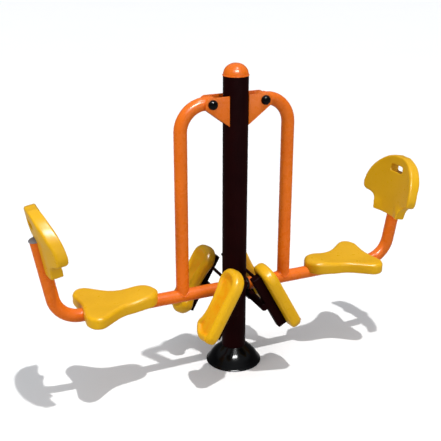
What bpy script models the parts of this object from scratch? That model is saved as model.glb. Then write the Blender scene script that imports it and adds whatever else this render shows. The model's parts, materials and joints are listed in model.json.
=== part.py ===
"""Double leg press machine, a two-user outdoor exercise station.

Frame: metres, +Z up.  The origin is on the ground, at the centre of the post.
X runs from one user to the other, Y is the direction of the two pivot axes.
The machine is symmetric in X and in Y.  Side "left" is -X, "front" is -Y.

A central post stands on a flange under a domed cover and carries four
triangular bracket plates.  Each pair of plates holds a pivot bolt, on which a
bent arm swings outward.  The arm carries a horizontal seat tube with a seat,
bent up at its outer end to carry the backrest.  Four foot pedals are fixed to
square tubes that a low bar and a thin rod join to the post.
"""

import math

import bmesh
import bpy
from mathutils import Matrix, Vector

# --------------------------------------------------------------------------
# driving dimensions, metres
# --------------------------------------------------------------------------
GAP = 0.0003                 # clearance between touching pieces

POST_R, POST_WALL, POST_TOP = 0.057, 0.004, 1.400
POST_SEG = 28

FLANGE_R, FLANGE_T = 0.114, 0.010
ANCHOR_PCR = 0.093           # anchor bolts' pitch circle radius
COVER_WALL = 0.0025

PIVOT_X, PIVOT_Z = 0.127, 1.289
PLATE_IN, PLATE_OUT = 0.034, 0.040          # bracket plates, |Y|
PLATE_TOP, PLATE_LOW, PLATE_END = 1.3185, 1.173, 0.1585
PLATE_NOSE_R = 0.028
PIVOT_BOLT_R = 0.010
HUB_R, HUB_BORE_R, HUB_HALF = 0.031, 0.0213, 0.0325

TUBE_R, TUBE_WALL = 0.030, 0.003
TUBE_SEG = 20
ARM_X = 0.2637               # the arm's vertical run
ELBOW_R, ELBOW_Z = 0.120, 1.168
SEAT_TUBE_Z = 0.394
SEAT_TUBE_IN = 0.0700        # inner end of the seat tube, |X|
REAR_BEND_X, REAR_BEND_R = 0.7457, 0.124
REAR_LEAN = math.radians(9.9)
REAR_END = 0.286             # straight rear leg above the bend

SEAT_Z0, SEAT_Z1 = 0.390, 0.4460
BACK_REAR, BACK_FRONT = -0.004, 0.040       # the moulding's faces from the tube's axis
BACK_CURVE = 1.25            # depth of the backrest's hollow, per metre of |Y| squared
BACK_REAR_CURVE = 1.10

PAD_HEEL = (0.2365, 0.2312)  # |X|, Z of the heel end, mid thickness
PAD_TILT = math.radians(28.73)
PAD_Y = 0.1613
PAD_BACK, PAD_FRONT = -0.0310, 0.0255       # the pad's rear and foot face, from its own plane
PAD_ROUND, PAD_RIM, PAD_RECESS = 0.0125, 0.010, 0.012
FRAME_W0, FRAME_W1 = -0.0313, -0.0758       # square tube, front and rear face
FRAME_HALF, FRAME_WALL = 0.020, 0.003
FRAME_U0, FRAME_U1 = 0.034, 0.332

BAR_X, BAR_Z, BAR_R, BAR_WALL, BAR_HALF = 0.0755, 0.3450, 0.0185, 0.0035, 0.178
ROD_X, ROD_Z, ROD_R = 0.0670, 0.4588, 0.0075

# --------------------------------------------------------------------------
# start from an empty scene
# --------------------------------------------------------------------------
for old in list(bpy.data.objects):
    bpy.data.objects.remove(old, do_unlink=True)


def srgb(r, g, b):
    def lin(c):
        c /= 255.0
        return c / 12.92 if c <= 0.04045 else ((c + 0.055) / 1.055) ** 2.4
    return (lin(r), lin(g), lin(b), 1.0)


def material(name, colour, rough, metal=0.0):
    m = bpy.data.materials.new(name)
    m.use_nodes = True
    p = m.node_tree.nodes["Principled BSDF"]
    p.inputs["Base Color"].default_value = colour
    p.inputs["Roughness"].default_value = rough
    p.inputs["Metallic"].default_value = metal
    m.diffuse_color = colour
    return m


ORANGE = material("orange_paint", srgb(238, 112, 34), 0.35)
DARK = material("dark_paint", srgb(34, 10, 10), 0.4)
YELLOW = material("yellow_plastic", srgb(232, 174, 30), 0.4)
BLACK = material("black_plastic", srgb(12, 12, 14), 0.18)
STEEL = material("zinc_steel", srgb(170, 172, 176), 0.35, 1.0)
RUBBER = material("rubber", srgb(22, 22, 22), 0.8)


# --------------------------------------------------------------------------
# building blocks
# --------------------------------------------------------------------------
def finish(name, bm, mat, sharp=35.0):
    bmesh.ops.remove_doubles(bm, verts=bm.verts, dist=1e-6)
    bmesh.ops.recalc_face_normals(bm, faces=bm.faces)
    me = bpy.data.meshes.new(name)
    bm.to_mesh(me)
    bm.free()
    me.materials.append(mat)
    me.shade_smooth()
    me.set_sharp_from_angle(angle=math.radians(sharp))
    ob = bpy.data.objects.new(name, me)
    bpy.context.scene.collection.objects.link(ob)
    return ob


def guide(ob):
    """a cutter: kept in the file, never part of the model"""
    ob.hide_render = True
    ob.display_type = "WIRE"
    return ob


def boolean(ob, cutter, op="DIFFERENCE"):
    m = ob.modifiers.new(op.lower(), "BOOLEAN")
    m.operation = op
    m.solver = "EXACT"
    m.object = cutter
    return ob


def bridge_rings(bm, rings, closed):
    """quads between successive rings of vertices; the rings close on themselves"""
    n = len(rings[0])
    pairs = list(zip(rings, rings[1:])) + ([(rings[-1], rings[0])] if closed else [])
    for a, b in pairs:
        for i in range(n):
            j = (i + 1) % n
            bm.faces.new((a[i], a[j], b[j], b[i]))


def turned(name, profile, mat, seg, place=None, sharp=35.0, turn=0.0):
    """closed profile of (radius, height) points spun about +Z, then placed;
    turn shifts the facets round by a part of one facet"""
    bm = bmesh.new()
    prof = []
    for r, z in profile:
        if r < 1e-7:
            prof.append([bm.verts.new((0, 0, z))])
        else:
            prof.append([bm.verts.new((r * math.cos(2 * math.pi * (k + turn) / seg),
                                       r * math.sin(2 * math.pi * (k + turn) / seg), z)) for k in range(seg)])
    n = len(prof)
    for i in range(n):
        a, b = prof[i], prof[(i + 1) % n]
        if len(a) == 1 and len(b) == 1:
            continue
        for k in range(seg):
            q = (k + 1) % seg
            if len(a) == 1:
                bm.faces.new((a[0], b[k], b[q]))
            elif len(b) == 1:
                bm.faces.new((a[q], a[k], b[0]))
            else:
                bm.faces.new((a[k], a[q], b[q], b[k]))
    if place is not None:
        bmesh.ops.transform(bm, matrix=place, verts=bm.verts)
    return finish(name, bm, mat, sharp)


def axis_place(origin, direction):
    """turns local +Z to a direction and moves the local origin to a point"""
    q = Vector((0, 0, 1)).rotation_difference(Vector(direction).normalized())
    return Matrix.Translation(origin) @ q.to_matrix().to_4x4()


def rod(name, p0, p1, r, mat, seg=20, r_in=None, turn=0.0):
    p0, p1 = Vector(p0), Vector(p1)
    length = (p1 - p0).length
    if r_in is None:
        prof = [(0, 0), (r, 0), (r, length), (0, length)]
    else:
        prof = [(r_in, 0), (r, 0), (r, length), (r_in, length)]
    return turned(name, prof, mat, seg, axis_place(p0, p1 - p0), turn=turn)


def prism(name, outline, lo, hi, to_world, mat, sharp=35.0):
    """outline of (a, b) points extruded from c = lo to c = hi"""
    bm = bmesh.new()
    vs = [bm.verts.new((a, b, lo)) for a, b in outline]
    f = bm.faces.new(vs)
    top = bmesh.ops.extrude_face_region(bm, geom=[f])
    bmesh.ops.translate(bm, vec=(0, 0, hi - lo),
                        verts=[e for e in top["geom"] if isinstance(e, bmesh.types.BMVert)])
    for v in bm.verts:
        v.co = Vector(to_world(*v.co))
    return finish(name, bm, mat, sharp)


def slab(name, outline, mat, to_world, bevel, segments, cuts_a, cuts_b, shape):
    """outline prism between c = 0 and c = 1 with rounded rims, cut into a grid and shaped"""
    bm = bmesh.new()
    vs = [bm.verts.new((a, b, 0.0)) for a, b in outline]
    f = bm.faces.new(vs)
    top = bmesh.ops.extrude_face_region(bm, geom=[f])
    bmesh.ops.translate(bm, vec=(0, 0, 0.05),
                        verts=[e for e in top["geom"] if isinstance(e, bmesh.types.BMVert)])
    bmesh.ops.recalc_face_normals(bm, faces=bm.faces)
    if bevel > 0:
        rim = [e for e in bm.edges if abs(e.verts[0].co.z - e.verts[1].co.z) < 1e-6]
        bmesh.ops.bevel(bm, geom=rim, offset=bevel, offset_type="OFFSET", segments=segments,
                        profile=0.5, affect="EDGES", clamp_overlap=True)
    for a in cuts_a:
        bmesh.ops.bisect_plane(bm, geom=bm.verts[:] + bm.edges[:] + bm.faces[:], dist=1e-6,
                               plane_co=(a, 0, 0), plane_no=(1, 0, 0))
    for b in cuts_b:
        bmesh.ops.bisect_plane(bm, geom=bm.verts[:] + bm.edges[:] + bm.faces[:], dist=1e-6,
                               plane_co=(0, b, 0), plane_no=(0, 1, 0))
    bmesh.ops.triangulate(bm, faces=[f for f in bm.faces if len(f.verts) > 4])
    for v in bm.verts:
        v.co = Vector(to_world(v.co.x, v.co.y, shape(v.co.x, v.co.y, v.co.z / 0.05)))
    return finish(name, bm, mat)


def arc(cx, cy, r, a0, a1, n):
    return [(cx + r * math.cos(math.radians(a0 + (a1 - a0) * k / n)),
             cy + r * math.sin(math.radians(a0 + (a1 - a0) * k / n))) for k in range(n + 1)]


def swept_tube(name, path, r_out, r_in, mat, seg, sx):
    """round tube along a path in the XZ plane; path items are (x, z, tangent angle)"""
    bm = bmesh.new()
    outer, inner = [], []
    for x, z, ang in path:
        nx, nz = -math.sin(ang), math.cos(ang)
        for rings, r in ((outer, r_out), (inner, r_in)):
            if r is None:
                continue
            rings.append([bm.verts.new((sx * (x + r * math.cos(t) * nx), r * math.sin(t),
                                        z + r * math.cos(t) * nz))
                          for t in (2 * math.pi * k / seg for k in range(seg))])
    bridge_rings(bm, outer, False)
    if r_in is not None:
        bridge_rings(bm, inner, False)
        for o, i in ((outer[0], inner[0]), (outer[-1], inner[-1])):
            for k in range(seg):
                j = (k + 1) % seg
                bm.faces.new((o[k], o[j], i[j], i[k]))
    else:
        bm.faces.new(outer[0])
        bm.faces.new(outer[-1])
    return finish(name, bm, mat)


def seat_tube_path(x0, s_end, n=8):
    """horizontal run, rear bend and leaning leg; the angle is the tangent's"""
    cx, cz = REAR_BEND_X, SEAT_TUBE_Z + REAR_BEND_R
    turn = math.pi / 2 - REAR_LEAN
    pts = [(x0, SEAT_TUBE_Z, 0.0)]
    for k in range(n + 1):
        a = turn * k / n
        pts.append((cx + REAR_BEND_R * math.sin(a), cz - REAR_BEND_R * math.cos(a), a))
    ex, ez, a = pts[-1]
    pts.append((ex + s_end * math.cos(a), ez + s_end * math.sin(a), a))
    return pts


def rear_point(s, w):
    """point in the XZ plane: s along the leaning leg, w from its axis toward the user"""
    a = math.pi / 2 - REAR_LEAN
    ex = REAR_BEND_X + REAR_BEND_R * math.sin(a)
    ez = SEAT_TUBE_Z + REAR_BEND_R - REAR_BEND_R * math.cos(a)
    return (ex + s * math.cos(a) - w * math.sin(a), ez + s * math.sin(a) + w * math.cos(a))


def hexagon(af, rot=0.0):
    r = af / math.sqrt(3)
    return [(r * math.cos(math.radians(60 * k + rot)), r * math.sin(math.radians(60 * k + rot)))
            for k in range(6)]


def screw(name, tip, direction, head_r, head_t, shank_r, length, mat, seg=8):
    """cap screw: its shank runs from the head's seat along the direction"""
    prof = [(0, -head_t), (head_r, -head_t), (head_r, 0), (shank_r, 0), (shank_r, length), (0, length)]
    return turned(name, prof, mat, seg, axis_place(tip, direction))


# --------------------------------------------------------------------------
# post, cap, flange, anchors and cover
# --------------------------------------------------------------------------
rod("post", (0, 0, FLANGE_T + GAP), (0, 0, POST_TOP), POST_R, DARK, POST_SEG, POST_R - POST_WALL)

z0 = POST_TOP + GAP
dome = [(0.0565 * math.cos(math.radians(a)), z0 + 0.0042 + 0.0505 * math.sin(math.radians(a)))
        for a in range(0, 90, 18)]
inner = [(0.0495 * math.cos(math.radians(a)), z0 + 0.0020 + 0.0480 * math.sin(math.radians(a)))
         for a in (60, 30, 0)]
turned("post_cap",
       [(0.0522, z0 - 0.025), (0.0522, z0), (0.0590, z0), (0.0594, z0 + 0.0012), (0.0590, z0 + 0.0038)]
       + dome + [(0, z0 + 0.0547), (0, z0 + 0.0500)] + inner + [(0.0495, z0 - 0.025)],
       ORANGE, 24)

rod("base_flange", (0, 0, 0), (0, 0, FLANGE_T), FLANGE_R, STEEL, 28)
flange = bpy.data.objects["base_flange"]

cover_line = [(0.1322, 0.0), (0.1326, 0.0032), (0.1300, 0.0065), (0.1250, 0.0130), (0.1170, 0.0250),
              (0.1067, 0.0400), (0.0935, 0.0550), (0.0770, 0.0700), (0.0590, 0.0850)]
cover_in = [(r - COVER_WALL * 0.75, z - COVER_WALL * 0.75) for r, z in cover_line[3:-1:2]]
cover_in = [(cover_line[0][0] - COVER_WALL, 0.0)] + [(r, max(z, 0.001)) for r, z in cover_in]
turned("base_cover",
       cover_line + [(0.0576, 0.0856), (0.0576, 0.0830)] + list(reversed(cover_in)),
       BLACK, 28)

for k in range(4):
    a = math.radians(45 + 90 * k)
    x, y = ANCHOR_PCR * math.cos(a), ANCHOR_PCR * math.sin(a)
    hole = guide(rod("cut_anchor_%d" % (k + 1), (x, y, -0.01), (x, y, 0.02), 0.0070, STEEL, 10))
    boolean(flange, hole)
    z1 = FLANGE_T + GAP
    turned("anchor_bolt_%d" % (k + 1),
           [(0, 0.0006), (0.0060, 0.0006), (0.0060, z1), (0.0120, z1), (0.0120, z1 + 0.0025),
            (0.0104, z1 + 0.0025), (0.0104, z1 + 0.0125), (0.0060, z1 + 0.0125),
            (0.0060, z1 + 0.0200), (0, z1 + 0.0200)],
           STEEL, 10, Matrix.Translation((x, y, 0)))

post_cut = guide(rod("cut_post", (0, 0, 0.2), (0, 0, 1.45), POST_R + GAP, STEEL, POST_SEG))

# --------------------------------------------------------------------------
# both sides
# --------------------------------------------------------------------------
for side, sx in (("left", -1), ("right", 1)):

    # ---- bracket plates, pivot bolt, nut and cover caps -------------------
    corner = arc(PLATE_END - PLATE_NOSE_R, PLATE_TOP - PLATE_NOSE_R, PLATE_NOSE_R, 90, 0, 8)
    low = arc(PLATE_END - 0.006, 1.2715, 0.006, 0, -50, 3)
    plate = [(0.030, PLATE_TOP)] + corner + low + [(0.0300, PLATE_LOW - 0.0066)]
    hole = guide(rod("cut_pivot_" + side, (sx * PIVOT_X, -0.06, PIVOT_Z), (sx * PIVOT_X, 0.06, PIVOT_Z),
                     PIVOT_BOLT_R + GAP, STEEL, 20))
    for end, sy in (("front", -1), ("back", 1)):
        lo, hi = sorted((sy * PLATE_IN, sy * PLATE_OUT))
        ob = prism("bracket_%s_%s" % (side, end), plate, lo, hi,
                   lambda a, b, c: (sx * a, c, b), ORANGE)
        boolean(ob, post_cut)
        boolean(ob, hole)
        y = sy * (PLATE_OUT + GAP)
        turned("pivot_cap_%s_%s" % (side, end),
               [(0.0202, 0), (0.0222, 0), (0.0214, 0.0070), (0.0190, 0.0120), (0.0145, 0.0165),
                (0.0080, 0.0190), (0, 0.0198), (0, 0.0182), (0.0120, 0.0154), (0.0186, 0.0090)],
               BLACK, 16, axis_place((sx * PIVOT_X, y, PIVOT_Z), (0, sy, 0)))
    y0 = -(PLATE_OUT + GAP)
    head = prism("pivot_bolt_" + side, hexagon(0.028), y0 - 0.0090, y0,
                 lambda a, b, c: (sx * PIVOT_X + a, c, PIVOT_Z + b), STEEL)
    shank = guide(rod("add_shank_" + side, (sx * PIVOT_X, y0 - 0.004, PIVOT_Z),
                      (sx * PIVOT_X, -y0 + 0.0110, PIVOT_Z), PIVOT_BOLT_R - 0.0001, STEEL, 20))
    boolean(head, shank, "UNION")
    nut = prism("pivot_nut_" + side, hexagon(0.028), -y0, -y0 + 0.0090,
                lambda a, b, c: (sx * PIVOT_X + a, c, PIVOT_Z + b), STEEL)
    boolean(nut, hole)

    # ---- arm: hub, bearings, bent swing tube -----------------------------
    rod("hub_" + side, (sx * PIVOT_X, -HUB_HALF, PIVOT_Z), (sx * PIVOT_X, HUB_HALF, PIVOT_Z),
        HUB_R, ORANGE, 24, HUB_BORE_R)
    for end, sy in (("front", -1), ("back", 1)):
        rod("bearing_%s_%s" % (side, end), (sx * PIVOT_X, sy * 0.0195, PIVOT_Z),
            (sx * PIVOT_X, sy * 0.0318, PIVOT_Z), HUB_BORE_R - GAP, STEEL, 16, PIVOT_BOLT_R + 0.0002)

    path = [(PIVOT_X, ELBOW_Z + ELBOW_R, 0.0)]
    for k in range(9):
        a = math.radians(90 * k / 8)
        path.append((ARM_X - ELBOW_R + ELBOW_R * math.sin(a), ELBOW_Z + ELBOW_R * math.cos(a), -a))
    path.append((ARM_X, SEAT_TUBE_Z, -math.pi / 2))
    arm = swept_tube("swing_tube_" + side, path, TUBE_R, TUBE_R - TUBE_WALL, ORANGE, TUBE_SEG, sx)
    boolean(arm, guide(rod("cut_hub_" + side, (sx * PIVOT_X, -0.06, PIVOT_Z), (sx * PIVOT_X, 0.06, PIVOT_Z),
                           HUB_R + GAP, STEEL, 24)))
    boolean(arm, guide(rod("cut_seat_tube_" + side, (sx * 0.15, 0, SEAT_TUBE_Z), (sx * 0.40, 0, SEAT_TUBE_Z),
                           TUBE_R + GAP, STEEL, TUBE_SEG)))

    # ---- seat tube with its plug and stop buffer ---------------------------
    rail = swept_tube("seat_tube_" + side, seat_tube_path(SEAT_TUBE_IN, REAR_END),
                      TUBE_R, TUBE_R - TUBE_WALL, ORANGE, TUBE_SEG, sx)
    px, pz = rear_point(REAR_END + GAP, 0.0)
    qx, qz = rear_point(REAR_END + 1.0, 0.0)
    turned("tube_plug_" + side,
           [(0, -0.018), (0.0266, -0.018), (0.0266, 0), (0.0330, 0), (0.0330, 0.0030),
            (0.0290, 0.0075), (0.0180, 0.0098), (0, 0.0105)],
           BLACK, 16, axis_place((sx * px, 0, pz), (sx * (qx - px), 0, qz - pz)))
    reach = SEAT_TUBE_IN - POST_R - 2 * GAP
    turned("stop_buffer_" + side,
           [(0, -0.022), (0.0264, -0.022), (0.0264, 0), (0.0290, 0), (0.0290, 0.0030),
            (0.0220, 0.0050), (0.0200, reach - 0.0020), (0.0180, reach), (0, reach)],
           RUBBER, 16, axis_place((sx * (SEAT_TUBE_IN - GAP), 0, SEAT_TUBE_Z), (-sx, 0, 0)))

    # ---- seat --------------------------------------------------------------
    half = ([(0.387, 0.0)] + [(0.3925, 0.0180), (0.4030, 0.0400), (0.4190, 0.0590), (0.4420, 0.0710),
            (0.4780, 0.0775), (0.5150, 0.0810), (0.5450, 0.0840), (0.5700, 0.0900), (0.5960, 0.1020),
            (0.6250, 0.1225), (0.6450, 0.1390), (0.6640, 0.1545), (0.6800, 0.1655), (0.6950, 0.1710),
            (0.7120, 0.1705), (0.7270, 0.1640), (0.7400, 0.1510), (0.7490, 0.1330), (0.7525, 0.1120),
            (0.7480, 0.0700), (0.7430, 0.0350)])
    outline = half + [(0.7410, 0.0)] + [(a, -b) for a, b in reversed(half[1:])]

    def seat_shape(x, y, h):
        nose = max(0.0, min(1.0, (0.545 - x) / 0.100))
        nose = nose * nose * (3 - 2 * nose)
        top = SEAT_Z1 + 0.0125 * nose
        bottom = SEAT_Z0 + 0.0060 * nose
        return bottom + h * (top - bottom)

    seat = slab("seat_" + side, outline, YELLOW, lambda a, b, c: (sx * a, b, c), 0.012, 2,
                [0.44, 0.48, 0.52, 0.60, 0.68], [0.0], seat_shape)
    channel = guide(swept_tube("cut_seat_channel_" + side,
                               [(0.30, SEAT_TUBE_Z, 0.0)] + seat_tube_path(0.5, 0.10)[1:4],
                               TUBE_R + GAP * 2, None, STEEL, TUBE_SEG, sx))
    boolean(seat, channel)

    # ---- backrest ----------------------------------------------------------
    side_line = [(0.131, 0.0970), (0.152, 0.1000), (0.172, 0.1070), (0.186, 0.1160), (0.1955, 0.1260),
                 (0.2035, 0.1380), (0.2085, 0.1520), (0.2110, 0.1660), (0.2150, 0.1780), (0.2250, 0.1885)]
    dome_line = arc(0.240, 0.0, 0.193, 90, 0, 10)
    half = side_line + dome_line
    outline = [(0.131, 0.0)] + half + [(a, -b) for a, b in reversed(half[:-1])]

    def back_shape(s, y, h):
        tab = max(0.0, min(1.0, (0.200 - s) / 0.040)) * max(0.0, min(1.0, (abs(y) - 0.050) / 0.040))
        high = max(0.0, min(1.0, (s - 0.285) / 0.050))
        wing = max(0.0, min(1.0, (abs(y) - 0.060) / 0.050))
        front = BACK_FRONT + BACK_CURVE * y * y + 0.008 * tab
        rear = BACK_REAR + BACK_REAR_CURVE * y * y - 0.0045 * wing * (1.0 - tab) - 0.0065 * high
        return rear + h * (front - rear)

    def back_place(s, y, w):
        x, z = rear_point(s, w)
        return (sx * x, y, z)

    back = slab("backrest_" + side, outline, YELLOW, back_place, 0.0065, 1, [0.164, 0.208, 0.289, 0.317],
                [-0.140, -0.100, -0.058, -0.018, 0.018, 0.058, 0.100, 0.140], back_shape)
    p0, p1 = rear_point(0.05, 0), rear_point(1.05, 0)
    step, end = REAR_END - 0.002 - 0.05, REAR_END + 0.026 - 0.05
    boolean(back, guide(turned("cut_back_channel_" + side,
                               [(0, 0), (TUBE_R + 0.0009, 0), (TUBE_R + 0.0009, step), (0.0340, step),
                                (0.0340, end), (0, end)], STEEL, TUBE_SEG,
                               axis_place((sx * p0[0], 0, p0[1]), (sx * (p1[0] - p0[0]), 0, p1[1] - p0[1])),
                               turn=0.5)))
    slot_line = (arc(0.372, 0.033, 0.012, 0, 90, 4) + arc(0.362, 0.033, 0.012, 90, 180, 4)
                 + arc(0.362, -0.033, 0.012, 180, 270, 4) + arc(0.372, -0.033, 0.012, 270, 360, 4))
    boolean(back, guide(prism("cut_slot_" + side, slot_line, -0.05, 0.09, back_place, STEEL)))

    # ---- screws that hold the seat and the backrest ------------------------
    for tag, x in (("inner", 0.545), ("outer", 0.675)):
        z = SEAT_TUBE_Z + TUBE_R - TUBE_WALL
        screw("seat_screw_%s_%s" % (side, tag), (sx * x, 0, z - 0.0018), (0, 0, 1),
              0.0080, 0.008, 0.0049, 0.0125, STEEL)
        bore = guide(rod("cut_seat_screw_%s_%s" % (side, tag), (sx * x, 0, z - 0.009), (sx * x, 0, z + 0.0118),
                         0.0053, STEEL, 12, turn=0.5))
        boolean(rail, bore)
        boolean(seat, bore)
        boolean(rail, guide(rod("cut_seat_access_%s_%s" % (side, tag), (sx * x, 0, SEAT_TUBE_Z - 0.04),
                                (sx * x, 0, SEAT_TUBE_Z - 0.02), 0.0100, STEEL, 14, turn=0.5)))
    tip = rear_point(0.200, TUBE_R - TUBE_WALL - 0.0018)
    end = rear_point(0.200, TUBE_R - TUBE_WALL + 0.0072)
    far = rear_point(0.200, TUBE_R - TUBE_WALL - 0.009)
    direction = (sx * (end[0] - tip[0]), 0, end[1] - tip[1])
    screw("backrest_screw_" + side, (sx * tip[0], 0, tip[1]), direction, 0.0080, 0.008, 0.0049, 0.0078, STEEL)
    bore = guide(rod("cut_back_screw_" + side, (sx * far[0], 0, far[1]), (sx * end[0], 0, end[1]),
                     0.0053, STEEL, 12, turn=0.5))
    boolean(rail, bore)
    boolean(back, bore)
    a0, a1 = rear_point(0.200, -0.04), rear_point(0.200, -0.02)
    boolean(rail, guide(rod("cut_back_access_" + side, (sx * a0[0], 0, a0[1]), (sx * a1[0], 0, a1[1]),
                            0.0100, STEEL, 14, turn=0.5)))

    # ---- low bar and thin rod that carry the pedals ------------------------
    bar = turned("pedal_bar_" + side,
                 [(0, -BAR_HALF), (BAR_R - 0.001, -BAR_HALF), (BAR_R, -BAR_HALF + 0.001),
                  (BAR_R, BAR_HALF - 0.001), (BAR_R - 0.001, BAR_HALF), (0, BAR_HALF)],
                 DARK, 18, axis_place((sx * BAR_X, 0, BAR_Z), (0, 1, 0)))
    boolean(bar, guide(rod("cut_bar_core_" + side, (sx * BAR_X, -BAR_HALF + BAR_WALL, BAR_Z),
                           (sx * BAR_X, BAR_HALF - BAR_WALL, BAR_Z), BAR_R - BAR_WALL, STEEL, 14)))
    boolean(bar, guide(rod("cut_bar_drain_" + side, (sx * BAR_X, 0.100, BAR_Z - 0.025),
                           (sx * BAR_X, 0.100, BAR_Z - 0.004), 0.0030, STEEL, 8)))
    boolean(bar, post_cut)
    stay = rod("pedal_rod_" + side, (sx * ROD_X, -(PAD_Y - FRAME_HALF - GAP), ROD_Z),
               (sx * ROD_X, PAD_Y - FRAME_HALF - GAP, ROD_Z), ROD_R, DARK, 14)
    boolean(stay, post_cut)

    # ---- pedals and their square tubes -------------------------------------
    ct, st = math.cos(PAD_TILT), math.sin(PAD_TILT)
    for end, sy in (("front", -1), ("back", 1)):

        def pad_place(u, v, w):
            """u from heel to toe, v from the foot's middle outward, w out of the foot face"""
            return (sx * (PAD_HEEL[0] - st * u + ct * w), sy * (PAD_Y + v), PAD_HEEL[1] + ct * u + st * w)

        tag = "%s_%s" % (side, end)
        outer = ([(0.0095, 0.0300)] + arc(0.0520, 0.0330, 0.0480, 160, 90, 4)[1:]
                 + [(0.1800, 0.0805), (0.2850, 0.0800), (0.3080, 0.0770), (0.3260, 0.0695), (0.3405, 0.0570),
                    (0.3510, 0.0400), (0.3575, 0.0200), (0.3600, 0.0000), (0.3595, -0.0200),
                    (0.3555, -0.0390), (0.3470, -0.0550)])
        medial = [(0.3345, -0.0670), (0.3200, -0.0750), (0.3050, -0.0790), (0.2920, -0.0795),
                  (0.2790, -0.0775), (0.2650, -0.0730), (0.2450, -0.0665), (0.2200, -0.0615),
                  (0.1900, -0.0580), (0.1600, -0.0570), (0.1320, -0.0585), (0.1090, -0.0625),
                  (0.0920, -0.0690), (0.0780, -0.0770), (0.0640, -0.0810), (0.0480, -0.0780),
                  (0.0310, -0.0635), (0.0150, -0.0450), (0.0055, -0.0230), (0.0035, 0.0050)]
        foot = outer + medial
        bm = bmesh.new()
        ring = [bm.verts.new((u, v, PAD_BACK)) for u, v in foot]
        f = bm.faces.new(ring)
        up = bmesh.ops.extrude_face_region(bm, geom=[f])
        bmesh.ops.translate(bm, vec=(0, 0, PAD_FRONT - PAD_BACK),
                            verts=[e for e in up["geom"] if isinstance(e, bmesh.types.BMVert)])
        bmesh.ops.recalc_face_normals(bm, faces=bm.faces)
        rim = [e for e in bm.edges if abs(e.verts[0].co.z - e.verts[1].co.z) < 1e-6]
        bmesh.ops.bevel(bm, geom=rim, offset=PAD_ROUND, offset_type="OFFSET", segments=2,
                        profile=0.5, affect="EDGES", clamp_overlap=True)
        face = max((q for q in bm.faces if all(abs(v.co.z - PAD_FRONT) < 1e-6 for v in q.verts)),
                   key=lambda q: q.calc_area())
        bmesh.ops.inset_region(bm, faces=[face], thickness=PAD_RIM, use_even_offset=True)
        down = bmesh.ops.extrude_face_region(bm, geom=[face])
        bmesh.ops.translate(bm, vec=(0, 0, -PAD_RECESS),
                            verts=[e for e in down["geom"] if isinstance(e, bmesh.types.BMVert)])
        for q in [q for q in bm.faces if q is face and q.is_valid]:
            bm.faces.remove(q)
        for v in bm.verts:
            v.co = Vector(pad_place(*v.co))
        pad = finish("pedal_" + tag, bm, YELLOW)

        def box_line(m):
            return [(FRAME_U0 - m, -FRAME_HALF - m), (FRAME_U1 + m, -FRAME_HALF - m),
                    (FRAME_U1 + m, FRAME_HALF + m), (FRAME_U0 - m, FRAME_HALF + m)]

        frame = prism("pedal_frame_" + tag, box_line(0.0), FRAME_W1, FRAME_W0, pad_place, DARK)
        inside = guide(prism("cut_frame_core_" + tag, box_line(-FRAME_WALL), FRAME_W1 + FRAME_WALL,
                             FRAME_W0 - FRAME_WALL, pad_place, STEEL))
        boolean(frame, inside)
        clear = guide(prism("cut_frame_clear_" + tag, box_line(GAP), FRAME_W1 - GAP, FRAME_W0 + GAP,
                            pad_place, STEEL))
        boolean(bar, clear)

        u = 0.160
        seat_w = FRAME_W0 - FRAME_WALL
        screw("pedal_screw_" + tag, pad_place(u, 0, seat_w - 0.0003),
              Vector(pad_place(u, 0, 1.0)) - Vector(pad_place(u, 0, 0)), 0.0080, 0.008, 0.0049, 0.018, STEEL)
        bore = guide(rod("cut_pedal_screw_" + tag, pad_place(u, 0, seat_w - 0.002),
                         pad_place(u, 0, seat_w + 0.0190), 0.0053, STEEL, 12, turn=0.5))
        boolean(frame, bore)
        boolean(pad, bore)
        boolean(frame, guide(rod("cut_pedal_access_" + tag, pad_place(u, 0, FRAME_W1 - 0.01),
                                 pad_place(u, 0, FRAME_W1 + 0.008), 0.0100, STEEL, 14, turn=0.5)))
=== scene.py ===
"""Looks of the double leg press machine: fine surfaces, finishes, light and camera.

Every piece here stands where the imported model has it.  Side "left" is -X, "front" is -Y, Z is up.
"""

import json
import math

import bmesh
import bpy
import numpy as np
from mathutils import Matrix, Vector, geometry


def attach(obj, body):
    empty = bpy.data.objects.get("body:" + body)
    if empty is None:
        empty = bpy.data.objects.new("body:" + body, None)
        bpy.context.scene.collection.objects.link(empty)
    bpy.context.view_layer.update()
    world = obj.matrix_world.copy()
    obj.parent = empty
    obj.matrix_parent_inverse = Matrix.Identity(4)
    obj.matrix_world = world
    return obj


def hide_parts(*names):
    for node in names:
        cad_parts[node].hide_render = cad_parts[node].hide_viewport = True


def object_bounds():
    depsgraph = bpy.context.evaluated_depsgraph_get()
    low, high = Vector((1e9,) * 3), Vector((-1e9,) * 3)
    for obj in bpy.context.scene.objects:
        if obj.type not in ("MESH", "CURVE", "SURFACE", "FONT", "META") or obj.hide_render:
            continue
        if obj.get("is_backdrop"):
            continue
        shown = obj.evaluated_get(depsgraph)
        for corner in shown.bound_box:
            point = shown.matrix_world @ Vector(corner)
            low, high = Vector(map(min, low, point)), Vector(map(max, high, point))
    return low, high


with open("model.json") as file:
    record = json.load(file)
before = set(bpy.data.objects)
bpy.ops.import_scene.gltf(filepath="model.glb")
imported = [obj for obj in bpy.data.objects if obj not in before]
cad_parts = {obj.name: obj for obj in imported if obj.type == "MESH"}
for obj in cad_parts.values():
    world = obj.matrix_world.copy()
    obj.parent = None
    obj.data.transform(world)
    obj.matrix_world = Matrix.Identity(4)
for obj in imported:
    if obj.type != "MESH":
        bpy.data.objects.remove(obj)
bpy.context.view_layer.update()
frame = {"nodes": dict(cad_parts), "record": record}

# --------------------------------------------------------------------------
# dimensions, metres: the same as the model's
# --------------------------------------------------------------------------
GAP = 0.0003
POST_R, POST_WALL, POST_TOP = 0.057, 0.004, 1.400
FLANGE_T = 0.010
PIVOT_X, PIVOT_Z = 0.127, 1.289
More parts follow.
